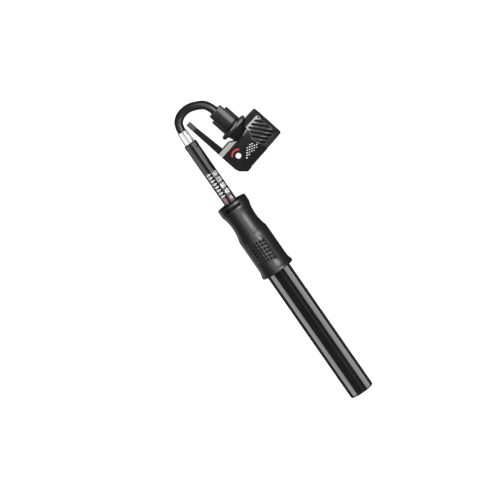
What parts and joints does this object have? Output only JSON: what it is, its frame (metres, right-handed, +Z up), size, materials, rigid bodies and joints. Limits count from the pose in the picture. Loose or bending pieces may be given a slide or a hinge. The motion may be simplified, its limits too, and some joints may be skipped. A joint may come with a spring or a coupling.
{
  "type": "mini pump",
  "caption": "Slim hand pump for tyres: barrel sliding on a rod, moulded grip, pull-out gauge tube, short hose and a lever-locked valve head.",
  "frame": {"origin": "on the pump's axis, at the middle of the barrel's bare wall, where a frame bracket holds it", "axes": "+X along the pump towards the barrel's closed end, +Y towards the side that the head lies on, +Z up from the surface that the grip's skirt and the head's cap lie on"},
  "size_m": [0.3028, 0.0901, 0.0369],
  "materials": {
    "grip_rubber": "matte moulded, fine grain, a field of small dimples",
    "black_plastic": "moulded",
    "dark_clip": "moulded",
    "bare_aluminium": "clear anodised",
    "spring_steel": "drawn wire",
    "seal_rubber": "smooth moulded",
    "pale_plastic": "natural acetal",
    "brass": "turned",
    "barrel_black": "gloss black anodised",
    "felt": "felt",
    "gauge_lens": "clear moulded, gloss",
    "scale_black": "gloss, printed white scale",
    "gloss_black": "gloss",
    "ferrule_metal": "polished",
    "hose_rubber": "smooth extruded",
    "indicator_red": "gloss",
    "head_black": "satin moulded",
    "sleeve_black": "gloss moulded, slanted ribs",
    "collar_grey": "moulded",
    "pad_grey": "soft moulded, ribbed",
    "pin_steel": "turned, bright",
    "mark_red": "gloss inlay"
  },
  "bodies": {
    "handle": {"grip_shell": "grip_rubber", "skirt_bush": "black_plastic", "lock_collar": "black_plastic", "lock_clip": "dark_clip", "tube_retainer": "black_plastic", "piston_rod": "bare_aluminium", "rod_clip": "spring_steel", "piston_head": "black_plastic", "piston_seal": "seal_rubber", "piston_guide": "pale_plastic", "valve_ball": "seal_rubber", "valve_spring": "spring_steel", "valve_retainer": "brass"},
    "barrel": {"barrel_tube": "barrel_black", "end_cap": "barrel_black", "end_cap_seal": "seal_rubber", "end_bumper": "seal_rubber", "gland_nut": "black_plastic", "gland_wiper": "felt", "gland_bumper": "seal_rubber"},
    "carrier": {"tube_carrier": "pale_plastic", "tube_seal": "seal_rubber"},
    "gauge_tube": {"gauge_lens": "gauge_lens", "gauge_foot": "brass", "air_tube": "brass", "scale_sleeve": "scale_black", "tube_cap": "gloss_black", "tube_cap_seal": "seal_rubber", "hose_ferrule": "ferrule_metal", "gauge_spring": "spring_steel", "hose": "hose_rubber"},
    "indicator": {"gauge_indicator": "indicator_red"},
    "head": {"head_body": "head_black", "head_sleeve": "sleeve_black", "mouth_ring": "sleeve_black", "valve_grommet": "seal_rubber", "head_connector": "head_black", "connector_seal": "seal_rubber", "hose_collar": "collar_grey"},
    "lever": {"lever": "head_black", "lever_pad": "pad_grey", "lever_pin": "pin_steel", "pivot_discs": "head_black", "lock_marks": "mark_red"},
    "plunger": {"plunger": "pale_plastic", "plunger_seal": "seal_rubber"}
  },
  "joints": [
    {"name": "barrel_stroke", "type": "slide", "parent": "handle", "child": "barrel", "axis": [1, 0, 0], "range_m": [0, 0.143]},
    {"name": "tube_pull", "type": "slide", "parent": "handle", "child": "carrier", "axis": [-1, 0, 0], "range_m": [-0.042, 0]},
    {"name": "tube_turn", "type": "hinge", "parent": "carrier", "child": "gauge_tube", "pos_m": [-0.11505, 0, 0], "axis": [1, 0, 0], "continuous": true},
    {"name": "gauge_rise", "type": "slide", "parent": "gauge_tube", "child": "indicator", "axis": [-1, 0, 0], "range_m": [0, 0.027], "stiffness_N_per_m": 60, "deforming": ["gauge_spring"]},
    {"name": "hose_flex", "type": "hinge", "parent": "gauge_tube", "child": "head", "pos_m": [-0.22495, 0.01781, 0.0019], "axis": [0, 0.1756, 0.9845], "range_deg": [0, 45], "stiffness_Nm_per_rad": 0.2, "deforming": ["hose"]},
    {"name": "lever_lock", "type": "hinge", "parent": "head", "child": "lever", "pos_m": [-0.17237, 0.03055, 0.00674], "axis": [0, 0.1756, 0.9845], "range_deg": [0, 90]},
    {"name": "plunger_press", "type": "slide", "parent": "head", "child": "plunger", "axis": [-0.236, 0.9567, -0.1706], "range_m": [0, 0.0026]}
  ],
  "couplings": [
    {"joint": "plunger_press", "follows": "lever_lock", "m_per_rad": 0.0015915}
  ]
}
